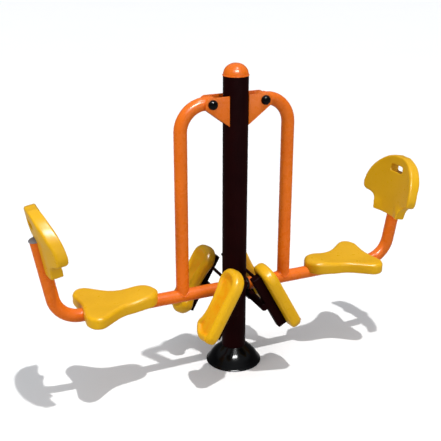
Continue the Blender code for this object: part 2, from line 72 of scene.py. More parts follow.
PLATE_IN, PLATE_OUT = 0.034, 0.040
PLATE_TOP, PLATE_LOW, PLATE_END, PLATE_NOSE_R = 1.3185, 1.173, 0.1585, 0.028
HUB_R, HUB_BORE_R, HUB_HALF = 0.031, 0.0213, 0.0325
TUBE_R, TUBE_WALL = 0.030, 0.003
ARM_X, ELBOW_R, ELBOW_Z = 0.2637, 0.120, 1.168
SEAT_TUBE_Z, SEAT_TUBE_IN = 0.394, 0.0700
REAR_BEND_X, REAR_BEND_R, REAR_LEAN, REAR_END = 0.7457, 0.124, math.radians(9.9), 0.286
SEAT_Z0, SEAT_Z1 = 0.390, 0.4460
PAD_HEEL, PAD_TILT, PAD_Y = (0.2365, 0.2312), math.radians(28.73), 0.1613
PAD_BACK, PAD_FRONT = -0.0310, 0.0255
FRAME_W0, FRAME_W1, FRAME_HALF, FRAME_WALL = -0.0313, -0.0758, 0.020, 0.003
FRAME_U0, FRAME_U1 = 0.034, 0.332
BAR_X, BAR_Z, BAR_R, BAR_HALF = 0.0755, 0.3450, 0.0185, 0.178
ROD_X, ROD_Z, ROD_R = 0.0670, 0.4588, 0.0075


# --------------------------------------------------------------------------
# materials
# --------------------------------------------------------------------------
def lin(c):
    c /= 255.0
    return c / 12.92 if c <= 0.04045 else ((c + 0.055) / 1.055) ** 2.4


def srgb(r, g, b):
    return (lin(r), lin(g), lin(b), 1.0)


class Mat:
    """small helper around one node tree"""

    def __init__(self, name, rough, metal=0.0):
        self.m = bpy.data.materials.new(name)
        self.m.use_nodes = True
        self.nt = self.m.node_tree
        self.p = self.nt.nodes["Principled BSDF"]
        self.p.inputs["Metallic"].default_value = metal
        self.p.inputs["Roughness"].default_value = rough
        self.co = self.nt.nodes.new("ShaderNodeTexCoord").outputs["Object"]

    def noise(self, scale, detail=3.0, rough=0.5, dist=0.0, vec=None):
        n = self.nt.nodes.new("ShaderNodeTexNoise")
        n.inputs["Scale"].default_value = scale
        n.inputs["Detail"].default_value = detail
        n.inputs["Roughness"].default_value = rough
        n.inputs["Distortion"].default_value = dist
        self.nt.links.new(vec or self.co, n.inputs["Vector"])
        return n.outputs["Fac"]

    def voronoi(self, scale, feature="SMOOTH_F1"):
        n = self.nt.nodes.new("ShaderNodeTexVoronoi")
        n.feature = feature
        n.inputs["Scale"].default_value = scale
        self.nt.links.new(self.co, n.inputs["Vector"])
        return n.outputs["Distance"]

    def ramp(self, fac, stops):
        n = self.nt.nodes.new("ShaderNodeValToRGB")
        el = n.color_ramp.elements
        while len(el) < len(stops):
            el.new(0.5)
        for e, (pos, col) in zip(el, stops):
            e.position = pos
            e.color = col
        self.nt.links.new(fac, n.inputs["Fac"])
        return n.outputs["Color"]

    def mapped(self, fac, lo, hi, a=0.3, b=0.7):
        n = self.nt.nodes.new("ShaderNodeMapRange")
        n.inputs["From Min"].default_value = a
        n.inputs["From Max"].default_value = b
        n.inputs["To Min"].default_value = lo
        n.inputs["To Max"].default_value = hi
        self.nt.links.new(fac, n.inputs["Value"])
        return n.outputs["Result"]

    def mix(self, fac, a, b):
        n = self.nt.nodes.new("ShaderNodeMix")
        n.data_type = "RGBA"
        for src, sock in ((fac, n.inputs[0]), (a, n.inputs[6]), (b, n.inputs[7])):
            if hasattr(src, "is_output"):
                self.nt.links.new(src, sock)
            else:
                sock.default_value = src
        return n.outputs[2]

    def bump(self, height, strength, distance, normal=None):
        n = self.nt.nodes.new("ShaderNodeBump")
        n.inputs["Strength"].default_value = strength
        n.inputs["Distance"].default_value = distance
        self.nt.links.new(height, n.inputs["Height"])
        if normal is not None:
            self.nt.links.new(normal, n.inputs["Normal"])
        return n.outputs["Normal"]

    def to(self, sock, out):
        self.nt.links.new(out, self.p.inputs[sock])
        return self

    def coat(self, weight, rough, ior=1.5):
        self.p.inputs["Coat Weight"].default_value = weight
        self.p.inputs["Coat Roughness"].default_value = rough
        self.p.inputs["Coat IOR"].default_value = ior
        return self

    def edge(self, radius, lo=0.02, hi=0.35):
        """how sharply the surface turns near a point: 0 on flats, 1 on edges"""
        bev = self.nt.nodes.new("ShaderNodeBevel")
        bev.samples = 4
        bev.inputs["Radius"].default_value = radius
        geo = self.nt.nodes.new("ShaderNodeNewGeometry")
        dot = self.nt.nodes.new("ShaderNodeVectorMath")
        dot.operation = "DISTANCE"
        self.nt.links.new(bev.outputs["Normal"], dot.inputs[0])
        self.nt.links.new(geo.outputs["Normal"], dot.inputs[1])
        return self.mapped(dot.outputs["Value"], 0.0, 1.0, lo, hi)


def powder_coat(name, base, light, dark, rough_lo, rough_hi, peel, coat_w, spec):
    """sprayed and baked paint: slight cloudiness, orange-peel skin, a clear gloss"""
    k = Mat(name, 0.4)
    cloud = k.noise(7.0, 3.0, 0.55)
    fine = k.noise(420.0, 2.0, 0.5)
    col = k.ramp(cloud, [(0.30, dark), (0.52, base), (0.74, light)])
    k.to("Base Color", col)
    k.to("Roughness", k.mapped(k.noise(31.0, 4.0, 0.6), rough_lo, rough_hi))
    skin = k.bump(k.noise(260.0, 2.0, 0.45), peel, 0.0004)
    k.to("Normal", k.bump(fine, peel * 0.5, 0.0002, skin))
    k.coat(coat_w, 0.12)
    k.p.inputs["Specular IOR Level"].default_value = spec
    return k.m


def moulded_plastic(name, base, light, dark, grain, rough_lo, rough_hi, coat_w, spec, hollow=None):
    """rotationally moulded plastic: fine grain, faint flow clouds, satin skin; when hollow is given, painted shade: the
    pad's hollow is tinted that deeper orange
    """
    k = Mat(name, 0.4)
    flow = k.noise(4.5, 4.0, 0.6, 0.6)
    pits = k.noise(640.0, 2.0, 0.6)
    col = k.ramp(flow, [(0.28, dark), (0.50, base), (0.76, light)])
    speck = k.mapped(k.noise(1500.0, 1.0, 0.5), 0.0, 0.10, 0.62, 0.80)
    col = k.mix(speck, col, light)
    # painted shade: where the hollow mask is high the colour turns to a mottled deeper orange, standing in for the
    # shade and yellow bounce light down in the recess
    if hollow is not None:
        att = k.nt.nodes.new("ShaderNodeAttribute")
        att.attribute_name = "hollow"
        recess_shade_noise = k.noise(26.0, 4.0, 0.65)
        col = k.mix(k.mapped(att.outputs["Fac"], 0.0, 1.0, 0.0, 1.0), col,
                    k.ramp(recess_shade_noise, [(0.30, hollow), (0.70, base)]))
    k.to("Base Color", col)
    k.to("Roughness", k.mapped(k.noise(48.0, 4.0, 0.6), rough_lo, rough_hi))
    skin = k.bump(k.noise(17.0, 1.0, 0.4), 0.06, 0.0010)
    k.to("Normal", k.bump(pits, grain, 0.00025, skin))
    k.coat(coat_w, 0.22)
    k.p.inputs["Specular IOR Level"].default_value = spec
    return k.m


ORANGE = powder_coat("orange_paint", srgb(239, 116, 27), srgb(242, 121, 31), srgb(234, 109, 22),
                     0.24, 0.32, 0.02, 0.0, 0.24)
DARK = powder_coat("dark_paint", srgb(27, 4, 5), srgb(32, 6, 6), srgb(22, 3, 4), 0.42, 0.55, 0.10, 0.0, 0.03)
# the last colour, a deeper orange, is painted shade for the pedal pads' hollows
YELLOW = moulded_plastic("yellow_plastic", srgb(233, 176, 22), srgb(237, 181, 29), srgb(228, 170, 17),
                         0.045, 0.26, 0.36, 0.0, 0.25, srgb(236, 152, 8))
BLACK = moulded_plastic("black_plastic", srgb(7, 7, 8), srgb(9, 9, 10), srgb(5, 5, 6),
                        0.015, 0.13, 0.16, 0.0, 0.17)
# end plugs: a dark plastic lightened to grey, a painted reflection standing in for the sky's sheen on their tops
PLUG_GREY_SHEEN = moulded_plastic("grey_plastic", srgb(142, 137, 140), srgb(150, 146, 149), srgb(132, 127, 130),
                       0.04, 0.34, 0.44, 0.0, 0.35)


def zinc():
    k = Mat("zinc_steel", 0.35, 1.0)
    spangle = k.voronoi(240.0, "F1")
    tint = k.noise(55.0, 3.0, 0.6)
    base = k.ramp(tint, [(0.30, (0.50, 0.50, 0.50, 1)), (0.55, (0.62, 0.63, 0.65, 1)), (0.78, (0.70, 0.69, 0.63, 1))])
    k.to("Base Color", base)
    k.to("Roughness", k.mapped(spangle, 0.28, 0.46, 0.0, 0.8))
    k.to("Normal", k.bump(k.noise(500.0, 3.0, 0.6), 0.12, 0.0002))
    return k.m


def rubber():
    k = Mat("rubber", 0.75)
    k.to("Base Color", k.ramp(k.noise(60.0, 3.0, 0.6), [(0.3, srgb(20, 20, 21)), (0.7, srgb(29, 29, 30))]))
    k.to("Roughness", k.mapped(k.noise(120.0, 3.0, 0.6), 0.62, 0.85))
    k.to("Normal", k.bump(k.noise(900.0, 2.0, 0.6), 0.25, 0.0003))
    return k.m


STEEL, RUBBER = zinc(), rubber()
SLOTS = {"orange_paint": ORANGE, "dark_paint": DARK, "yellow_plastic": YELLOW,
         "black_plastic": BLACK, "grey_plastic": PLUG_GREY_SHEEN, "zinc_steel": STEEL, "rubber": RUBBER}
NODE_SLOT = {s["node"]: s["material_slot"] for s in frame["record"]["subparts"]}
for node, ob in frame["nodes"].items():
    ob.data.materials.clear()
    ob.data.materials.append(SLOTS[NODE_SLOT[node]])


# --------------------------------------------------------------------------
# mesh building blocks
# --------------------------------------------------------------------------
def finish(name, bm, slot, body, replaces=(), sharp=32.0, weld=1e-6):
    bmesh.ops.remove_doubles(bm, verts=bm.verts, dist=weld)
    bmesh.ops.recalc_face_normals(bm, faces=bm.faces)
    me = bpy.data.meshes.new(name)
    bm.to_mesh(me)
    bm.free()
    me.materials.append(SLOTS[slot])
    me.shade_smooth()
    me.set_sharp_from_angle(angle=math.radians(sharp))
    ob = bpy.data.objects.new(name, me)
    bpy.context.scene.collection.objects.link(ob)
    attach(ob, body)
    if replaces:
        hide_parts(*replaces)
    return ob


def cut(ob, bm_cutter, sharp=32.0):
    """exact difference with a closed cutter, applied to the mesh"""
    bmesh.ops.recalc_face_normals(bm_cutter, faces=bm_cutter.faces)
    me = bpy.data.meshes.new("cutter")
    bm_cutter.to_mesh(me)
    bm_cutter.free()
    tool = bpy.data.objects.new("cutter", me)
    bpy.context.scene.collection.objects.link(tool)
    mod = ob.modifiers.new("cut", "BOOLEAN")
    mod.operation = "DIFFERENCE"
    mod.solver = "EXACT"
    mod.object = tool
    dg = bpy.context.evaluated_depsgraph_get()
    new = bpy.data.meshes.new_from_object(ob.evaluated_get(dg))
    ob.modifiers.remove(mod)
    old, ob.data = ob.data, new
    bpy.data.objects.remove(tool)
    bpy.data.meshes.remove(me)
    bpy.data.meshes.remove(old)
    mats = new.materials
    while len(mats) > 1:
        mats.pop(index=len(mats) - 1)
    new.polygons.foreach_set("material_index", [0] * len(new.polygons))
    new.shade_smooth()
    new.set_sharp_from_angle(angle=math.radians(sharp))
    return ob


def lathe_mesh(profile, seg, place=None, closed=True):
    """profile of (radius, height) points turned about +Z"""
    bm = bmesh.new()
    rings = []
    for r, z in profile:
        if r < 1e-7:
            rings.append([bm.verts.new((0, 0, z))])
        else:
            rings.append([bm.verts.new((r * math.cos(2 * math.pi * k / seg),
                                        r * math.sin(2 * math.pi * k / seg), z)) for k in range(seg)])
    n = len(rings)
    for i in range(n if closed else n - 1):
        a, b = rings[i], rings[(i + 1) % n]
        if len(a) == 1 and len(b) == 1:
            continue
        for k in range(seg):
            q = (k + 1) % seg
            if len(a) == 1:
                bm.faces.new((a[0], b[k], b[q]))
            elif len(b) == 1:
                bm.faces.new((a[q], a[k], b[0]))
            else:
                bm.faces.new((a[k], a[q], b[q], b[k]))
    if place is not None:
        bmesh.ops.transform(bm, matrix=place, verts=bm.verts)
    return bm


def axis_place(origin, direction):
    q = Vector((0, 0, 1)).rotation_difference(Vector(direction).normalized())
    return Matrix.Translation(origin) @ q.to_matrix().to_4x4()


def rounded(points, radii, n=5):
    """polyline of (r, z) corners, each rounded with its own radius"""
    out = []
    m = len(points)
    for i, (p, r) in enumerate(zip(points, radii)):
        if r <= 0 or i == 0 or i == m - 1:
            out.append(tuple(p))
            continue
        p0, p1, p2 = (Vector(q) for q in (points[i - 1], p, points[i + 1]))
        u, v = (p0 - p1).normalized(), (p2 - p1).normalized()
        ang = u.angle(v)
        d = min(r / math.tan(ang / 2), (p0 - p1).length * 0.49, (p2 - p1).length * 0.49)
        r2 = d * math.tan(ang / 2)
        c = p1 + (u + v).normalized() * (r2 / math.sin(ang / 2))
        a, b = p1 + u * d - c, p1 + v * d - c
        total = a.angle(b)
        for k in range(n + 1):
            t = k / n
            w = (a * math.sin((1 - t) * total) + b * math.sin(t * total)) / math.sin(total)
            out.append(tuple(c + w))
    return out


def smooth_loop(pts, step):
    """closed Catmull-Rom curve through the points, at equal steps, counter-clockwise"""
    p = np.array(pts, float)
    n = len(p)
    fine = []
    for i in range(n):
        p0, p1, p2, p3 = p[i - 1], p[i], p[(i + 1) % n], p[(i + 2) % n]
        for k in range(16):
            t = k / 16.0
            fine.append(0.5 * (2 * p1 + (p2 - p0) * t + (2 * p0 - 5 * p1 + 4 * p2 - p3) * t * t
                               + (3 * p1 - p0 - 3 * p2 + p3) * t ** 3))
    fine = np.array(fine)
    for _ in range(6):
        fine = 0.5 * fine + 0.25 * (np.roll(fine, 1, 0) + np.roll(fine, -1, 0))
    seg = np.linalg.norm(np.roll(fine, -1, 0) - fine, axis=1)
    s = np.concatenate([[0], np.cumsum(seg)])
    m = int(round(s[-1] / step))
    t = np.linspace(0, s[-1], m, endpoint=False)
    closed = np.vstack([fine, fine[:1]])
    out = np.stack([np.interp(t, s, closed[:, 0]), np.interp(t, s, closed[:, 1])], 1)
    area = 0.5 * np.sum(out[:, 0] * np.roll(out[:, 1], -1) - np.roll(out[:, 0], -1) * out[:, 1])
    return out if area > 0 else out[::-1].copy()


def inward(loop):
    t = np.roll(loop, -1, 0) - np.roll(loop, 1, 0)
    t /= np.linalg.norm(t, axis=1)[:, None]
    return np.stack([-t[:, 1], t[:, 0]], 1)


def inset(loop, d):
    """the loop moved inward by d (a number or one per point), in small steps so that it stays even"""
    d = np.broadcast_to(np.asarray(d, float), (len(loop),))
    steps = max(1, int(math.ceil(np.abs(d).max() / 0.0015)))
    out = loop.copy()
    for _ in range(steps):
        out = out + inward(out) * (d / steps)[:, None]
        out = 0.92 * out + 0.04 * (np.roll(out, 1, 0) + np.roll(out, -1, 0))
    return out


def inside(poly, q):
    x, y = q[:, 0][:, None], q[:, 1][:, None]
    x0, y0 = poly[:, 0][None], poly[:, 1][None]
    x1, y1 = np.roll(poly[:, 0], -1)[None], np.roll(poly[:, 1], -1)[None]
    cond = (y0 > y) != (y1 > y)
    with np.errstate(divide="ignore", invalid="ignore"):
        xi = x0 + (y - y0) * (x1 - x0) / (y1 - y0)
    return (np.sum(cond & (x < xi), axis=1) % 2) == 1


def patch(bm, rings, loops, lift, grid):
    """fills the region inside loops[0] and outside the other loops with even triangles;
    rings are the loops' vertices, lift makes the vertices of new inner points"""
    outer = loops[0]
    lo, hi = outer.min(0), outer.max(0)
    pts = []
    row = 0
    b = lo[1]
    while b < hi[1]:
        a = lo[0] + (grid / 2 if row % 2 else 0)
        while a < hi[0]:
            pts.append((a, b))
            a += grid
        b += grid * 0.866
        row += 1
    q = np.array(pts)
    q = q[inside(outer, q)]
    for h in loops[1:]:
        q = q[~inside(h, q)]
    border = np.vstack(loops)
    dist = np.sqrt(((q[:, None, :] - border[None]) ** 2).sum(2)).min(1)
    q = q[dist > grid * 0.62]
    verts = [v for ring in rings for v in ring]
    coords = [Vector(c) for loop in loops for c in loop]
    edges, base = [], 0
    for loop in loops:
        n = len(loop)
        edges += [(base + i, base + (i + 1) % n) for i in range(n)]
        base += n
    coords += [Vector((a, b)) for a, b in q]
    verts += lift(q)
    res = geometry.delaunay_2d_cdt(coords, edges, [], 0, 1e-7)
    src = []
    for point, origin in zip(res[0], res[3]):
        if origin:
            src.append(origin[0])
        else:
            src.append(len(verts))
            verts += lift(np.array([[point.x, point.y]]))
            coords.append(point)
    tri = np.array([[src[i] for i in f] for f in res[2]])
    cxy = np.array([[c.x, c.y] for c in coords])
    mid = cxy[tri].mean(1)
    keep = inside(outer, mid)
    for h in loops[1:]:
        keep &= ~inside(h, mid)
    for f in tri[keep]:
        bm.faces.new([verts[i] for i in f])


def moulding(outline, faces, place, top, bottom, grid, holes=(), walls=2):
    """closed moulded body.
    outline, holes: loops of (a, b); faces(a, b) gives the lower and upper face's height there;
    top, bottom: steps of (inset, drop) from the side wall to the face, numbers or one per point"""
    bm = bmesh.new()

    def ring(loop, upper, drop):
        lo, hi = faces(loop[:, 0], loop[:, 1])
        z = hi - drop if upper else lo + drop
        return [bm.verts.new(place(a, b, c)) for (a, b), c in zip(loop, z)]

    def bridge(r0, r1):
        n = len(r0)
        for i in range(n):
            j = (i + 1) % n
            bm.faces.new((r0[i], r0[j], r1[j], r1[i]))

    ends = {True: ([], []), False: ([], [])}
    for k, loop in enumerate([outline] + list(holes)):
        sign = 1.0 if k == 0 else -1.0
        first = {}
        for upper, steps in ((True, top[k] if k < len(top) else top[-1]),
                             (False, bottom[k] if k < len(bottom) else bottom[-1])):
            last, cur = None, loop
            for ins, drop in steps:
                cur = inset(loop, sign * np.asarray(ins)) if np.any(np.asarray(ins) > 0) else loop
                r = ring(cur, upper, drop)
                if last is None:
                    first[upper] = r
                else:
                    bridge(last, r)
                last = r
            ends[upper][0].append(last)
            ends[upper][1].append(cur)
        prev = first[False]
        for w in range(1, walls):
            t = w / walls
            mid = [bm.verts.new(a.co.lerp(b.co, t)) for a, b in zip(first[False], first[True])]
            bridge(prev, mid)
            prev = mid
        bridge(prev, first[True])
    for upper, drop in ((True, top[0][-1][1]), (False, bottom[0][-1][1])):
        def lift(q):
            lo, hi = faces(q[:, 0], q[:, 1])
            z = hi - float(np.min(drop)) if upper else lo + float(np.min(drop))
            return [bm.verts.new(place(a, b, c)) for (a, b), c in zip(q, z)]
        patch(bm, ends[upper][0], ends[upper][1], lift, grid)
    return bm


def quarter(r, n=6):
    """steps of a rounded edge of radius r, from the side wall up to the face"""
    return [(r * (1 - math.cos(math.pi / 2 * k / n)), r * (1 - math.sin(math.pi / 2 * k / n)))
            for k in range(n + 1)]


def tube_mesh(path, r_out, r_in, seg, sx, start=None, end=None, lip=0.0006):
    """round tube along (x, z, angle) stations; start and end may bend their ring (see callers)"""
    bm = bmesh.new()

    def ring(x, z, ang, r, shift):
        nx, nz = -math.sin(ang), math.cos(ang)
        tx, tz = math.cos(ang), math.sin(ang)
        out = []
        for k in range(seg):
            t = 2 * math.pi * k / seg
            side, up = r * math.sin(t), r * math.cos(t)
            s = shift(side, up) if shift else 0.0
            out.append(bm.verts.new((sx * (x + up * nx + s * tx), side, z + up * nz + s * tz)))
        return out

    outer = [ring(x, z, a, r_out, start if i == 0 else end if i == len(path) - 1 else None)
             for i, (x, z, a) in enumerate(path)]
    inner = [ring(x, z, a, r_in, start if i == 0 else end if i == len(path) - 1 else None)
             for i, (x, z, a) in enumerate(path)]
    for rings in (outer, inner):
        for a, b in zip(rings, rings[1:]):
            for k in range(seg):
                j = (k + 1) % seg
                bm.faces.new((a[k], a[j], b[j], b[k]))
    for o, i in ((outer[0], inner[0]), (outer[-1], inner[-1])):
        for k in range(seg):
            j = (k + 1) % seg
            bm.faces.new((o[k], o[j], i[j], i[k]))
    return bm


def bead_mesh(points, radius, ripple, pitch, closed=True, seg=10):
    """weld bead along a curve in space: a small round section with overlapping ripples"""
    p = np.array(points, float)
    n = len(p)
    seglen = np.linalg.norm(np.roll(p, -1, 0) - p, axis=1)
    s = np.concatenate([[0], np.cumsum(seglen)])[:n]
    total = seglen.sum() if closed else seglen[:-1].sum()
    waves = max(1, round(total / pitch))
    bm = bmesh.new()
    rings = []
    ref = None
    for i in range(n):
        a, b = p[i - 1] if (closed or i) else p[i], p[(i + 1) % n] if (closed or i < n - 1) else p[i]
        t = Vector(b - a).normalized()
        if ref is None:
            ref = t.orthogonal().normalized()
        ref = (ref - t * ref.dot(t)).normalized()
        bi = t.cross(ref)
        ph = (s[i] / total * waves) % 1.0
        r = radius * (1 + ripple * (1 - 2 * abs(ph - 0.5)) - ripple * 0.5)
        if not closed and (i == 0 or i == n - 1):
            r *= 0.35
        rings.append([bm.verts.new(Vector(p[i]) + (ref * math.cos(q) + bi * math.sin(q)) * r)
                      for q in (2 * math.pi * k / seg for k in range(seg))])
    for i in range(n if closed else n - 1):
        a, b = rings[i], rings[(i + 1) % n]
        off = 0
        if closed and i == n - 1:
            off = min(range(seg), key=lambda o: (a[0].co - b[o].co).length)
        for k in range(seg):
            j = (k + 1) % seg
            bm.faces.new((a[k], a[j], b[(j + off) % seg], b[(k + off) % seg]))
    if not closed:
        bm.faces.new(rings[0])
        bm.faces.new(rings[-1])
    return bm


# --------------------------------------------------------------------------
# post, cap and base cover
# --------------------------------------------------------------------------
z_lo, z_hi = FLANGE_T + GAP, POST_TOP
bevel = 0.0008
finish("post_tube", lathe_mesh([(POST_R - POST_WALL, z_lo), (POST_R - bevel, z_lo), (POST_R, z_lo + bevel),
                                (POST_R, 0.35), (POST_R, 0.7), (POST_R, 1.05),
                                (POST_R, z_hi - bevel), (POST_R - bevel, z_hi), (POST_R - POST_WALL, z_hi)], 128),
       "dark_paint", "base", ["post"])

z0 = POST_TOP + GAP
lip = rounded([(0.0530, z0), (0.0592, z0), (0.0592, z0 + 0.0046), (0.0560, z0 + 0.0050)],
              [0, 0.0012, 0.0014, 0], 5)
dome = [(0.0563 * math.cos(math.radians(a)) ** 0.97, z0 + 0.0050 + 0.0492 * math.sin(math.radians(a)))
        for a in np.linspace(2, 87, 30)]
inner = [(0.0528 * math.cos(math.radians(a)), z0 + 0.0020 + 0.0480 * math.sin(math.radians(a)))
         for a in (80, 65, 50, 35, 20, 0)]
finish("post_cap_dome", lathe_mesh([(0.0495, z0 - 0.025), (0.0524, z0 - 0.025), (0.0528, z0 - 0.024), (0.0528, z0)]
                                   + lip + dome + [(0, z0 + 0.0543), (0, z0 + 0.0510)]
                                   + [(min(r, 0.0495), z) for r, z in inner], 128),
       "orange_paint", "base", ["post_cap"])

line = [(0.1300, 0.0), (0.1324, 0.0006), (0.1326, 0.0036), (0.1306, 0.0058), (0.1288, 0.0078), (0.1262, 0.0112),
        (0.1218, 0.0180), (0.1170, 0.0250), (0.1120, 0.0325), (0.1067, 0.0400), (0.1004, 0.0476),
        (0.0935, 0.0550), (0.0855, 0.0627), (0.0770, 0.0700), (0.0678, 0.0779), (0.0600, 0.0846)]


def refine(points, n):
    """Catmull-Rom through open points"""
    p = [np.array(q, float) for q in points]
    p = [2 * p[0] - p[1]] + p + [2 * p[-1] - p[-2]]
    out = []
    for i in range(1, len(p) - 2):
        for k in range(n):
            t = k / n
            out.append(tuple(0.5 * (2 * p[i] + (p[i + 1] - p[i - 1]) * t
                                    + (2 * p[i - 1] - 5 * p[i] + 4 * p[i + 1] - p[i + 2]) * t * t
                                    + (3 * p[i] - p[i - 1] - 3 * p[i + 1] + p[i + 2]) * t ** 3)))
    out.append(tuple(p[-2]))
    return out


outer = [(max(0.0, r), max(0.0, z)) for r, z in refine(line, 4)]
neck = [(0.0586, 0.0855), (0.0578, 0.0856), (0.0575, 0.0850), (0.0575, 0.0832)]
under = [(r - 0.0022, z - 0.0020) for r, z in outer[28::4][::-1]]
finish("base_cover_dome", lathe_mesh(outer + neck + [(0.0590, 0.0818)] + under + [(0.1270, 0.0)], 160),
       "black_plastic", "base", ["base_cover"])


# --------------------------------------------------------------------------
# helpers for one side
# --------------------------------------------------------------------------
def rear_point(s, w):
    a = math.pi / 2 - REAR_LEAN
    ex = REAR_BEND_X + REAR_BEND_R * math.sin(a)
    ez = SEAT_TUBE_Z + REAR_BEND_R - REAR_BEND_R * math.cos(a)
    return (ex + s * math.cos(a) - w * math.sin(a), ez + s * math.sin(a) + w * math.cos(a))


def arc(cx, cy, r, a0, a1, n):
    return [(cx + r * math.cos(math.radians(a0 + (a1 - a0) * k / n)),
             cy + r * math.sin(math.radians(a0 + (a1 - a0) * k / n))) for k in range(n + 1)]


def ss(lo, hi, x):
    t = np.clip((np.asarray(x, float) - lo) / (hi - lo), 0.0, 1.0)
    return t * t * (3 - 2 * t)


def plate_mesh(outline, lo, hi, to_world, bevel=0.0007):
    bm = bmesh.new()
    vs = [bm.verts.new((a, b, lo)) for a, b in outline]
    f = bm.faces.new(vs)
    up = bmesh.ops.extrude_face_region(bm, geom=[f])
    bmesh.ops.translate(bm, vec=(0, 0, hi - lo), verts=[e for e in up["geom"] if isinstance(e, bmesh.types.BMVert)])
    bmesh.ops.recalc_face_normals(bm, faces=bm.faces)
    rim = [e for e in bm.edges if abs(e.verts[0].co.z - e.verts[1].co.z) < 1e-6]
    bmesh.ops.bevel(bm, geom=rim, offset=bevel, offset_type="OFFSET", segments=2, profile=0.5,
                    affect="EDGES", clamp_overlap=True)
    for v in bm.verts:
        v.co = Vector(to_world(*v.co))
    return bm


# seat outline and faces, shared by both sides
seat_half = [(0.3925, 0.0180), (0.4030, 0.0400), (0.4190, 0.0590), (0.4420, 0.0710),
             (0.4780, 0.0775), (0.5150, 0.0810), (0.5450, 0.0840), (0.5700, 0.0900), (0.5960, 0.1020),
             (0.6250, 0.1225), (0.6450, 0.1390), (0.6640, 0.1545), (0.6800, 0.1655), (0.6950, 0.1710),
             (0.7120, 0.1705), (0.7270, 0.1640), (0.7400, 0.1510), (0.7490, 0.1330), (0.7525, 0.1120),
             (0.7480, 0.0700), (0.7430, 0.0350)]
SEAT_LOOP = smooth_loop([(0.387, 0.0)] + seat_half + [(0.7410, 0.0)] + [(a, -b) for a, b in reversed(seat_half)],
                        0.0042)
SEAT_LOOP[:, 1] = np.clip(SEAT_LOOP[:, 1], -0.1710, 0.1710)


def seat_faces(x, y):
    nose = 1 - ss(0.445, 0.545, x)
    top = SEAT_Z1 + 0.0125 * nose - 0.0030 * (1 - ss(0.387, 0.425, x))
    leg = ss(0.04, 0.12, np.abs(y)) * ss(0.60, 0.68, x)
    dish = ss(0.52, 0.62, x) * (1 - ss(0.66, 0.76, x)) * (1 - ss(0.05, 0.13, np.abs(y)))
    top = top - 0.0022 * dish + 0.0012 * leg - 0.0008 * nose * (y / 0.06) ** 2
    return SEAT_Z0 + 0.006 * nose + 0 * top, top


side_line = [(0.1310, 0.0895), (0.1325, 0.0955), (0.1380, 0.0985), (0.1520, 0.1000), (0.1720, 0.1070),
             (0.1860, 0.1160), (0.1955, 0.1260), (0.2030, 0.1380), (0.2075, 0.1520), (0.2095, 0.1650),
             (0.2120, 0.1745), (0.2170, 0.1822), (0.2260, 0.1890)]
back_half = side_line + arc(0.240, 0.0, 0.193, 88, 8, 14)
BACK_LOOP = smooth_loop([(0.131, 0.0), (0.131, 0.05)] + back_half + [(0.430, 0.0)]
                        + [(a, -b) for a, b in reversed(back_half)] + [(0.131, -0.05)], 0.0040)
slot_line = (arc(0.3715, 0.0335, 0.0125, 0, 90, 4) + arc(0.3625, 0.0335, 0.0125, 90, 180, 4)
             + arc(0.3625, -0.0335, 0.0125, 180, 270, 4) + arc(0.3715, -0.0335, 0.0125, 270, 360, 4))
SLOT_LOOP = smooth_loop(slot_line, 0.0030)


def back_faces(s, y):
    ay = np.abs(y)
    tab = (1 - ss(0.158, 0.205, s)) * ss(0.045, 0.092, ay)
    high = ss(0.280, 0.335, s)
    wing = ss(0.055, 0.115, ay)
    front = 0.040 + 1.25 * y * y + 0.008 * tab
    rear = -0.004 + 1.10 * y * y - 0.0045 * wing * (1 - tab) - 0.0065 * high
    return rear, front


foot_line = ([(0.0095, 0.0300)] + arc(0.0520, 0.0330, 0.0480, 160, 90, 4)[1:]
             + [(0.1100, 0.0808), (0.1800, 0.0805), (0.2400, 0.0803), (0.2850, 0.0800), (0.3080, 0.0770),
                (0.3260, 0.0695), (0.3405, 0.0570), (0.3510, 0.0400), (0.3575, 0.0200), (0.3600, 0.0000),
                (0.3595, -0.0200), (0.3555, -0.0390), (0.3470, -0.0550),
                (0.3345, -0.0670), (0.3200, -0.0750), (0.3050, -0.0790), (0.2920, -0.0795),
                (0.2790, -0.0775), (0.2650, -0.0730), (0.2450, -0.0665), (0.2200, -0.0615),
                (0.1900, -0.0580), (0.1600, -0.0570), (0.1320, -0.0585), (0.1090, -0.0625),
                (0.0920, -0.0690), (0.0780, -0.0770), (0.0640, -0.0810), (0.0480, -0.0780),
                (0.0310, -0.0635), (0.0150, -0.0450), (0.0055, -0.0230), (0.0035, 0.0050)])
FOOT_LOOP = smooth_loop(foot_line, 0.0034)
FOOT_LOOP[:, 1] = np.clip(FOOT_LOOP[:, 1], -0.0810, 0.0809)
FOOT_EDGE, FOOT_BACK, FOOT_DEPTH = 0.0235, 0.0180, 0.0125


def foot_hollow(u, v):
    """how far the tread lies below the rim: a soft-edged hollow, deeper at the heel and the toes"""
    u, v = np.asarray(u, float), np.asarray(v, float)
    d = np.sqrt((u[:, None] - FOOT_LOOP[None, :, 0]) ** 2 + (v[:, None] - FOOT_LOOP[None, :, 1]) ** 2).min(1)
    shape = ss(FOOT_EDGE - 0.001, FOOT_EDGE + 0.0165, d)
    heel = 1 - ss(0.03, 0.11, u)
    toes = ss(0.25, 0.33, u)
    ball = np.exp(-((u - 0.215) / 0.035) ** 2)
    return shape * (FOOT_DEPTH + 0.0020 * heel + 0.0016 * toes - 0.0016 * ball)


def mark_hollow_shade(ob, place_inverse):
    """stores how deep in the hollow each point of the pad is, as the mask for the painted shade in the hollow"""
    me = ob.data
    att = me.attributes.new("hollow", "FLOAT", "POINT")
    co = np.empty(len(me.vertices) * 3)
    me.vertices.foreach_get("co", co)
    u, v, w = place_inverse(co.reshape(-1, 3))
    deep = np.where(w > 0, ss(0.001, 0.010, foot_hollow(u, v)), 0.0)
    att.data.foreach_set("value", deep.astype(np.float32))


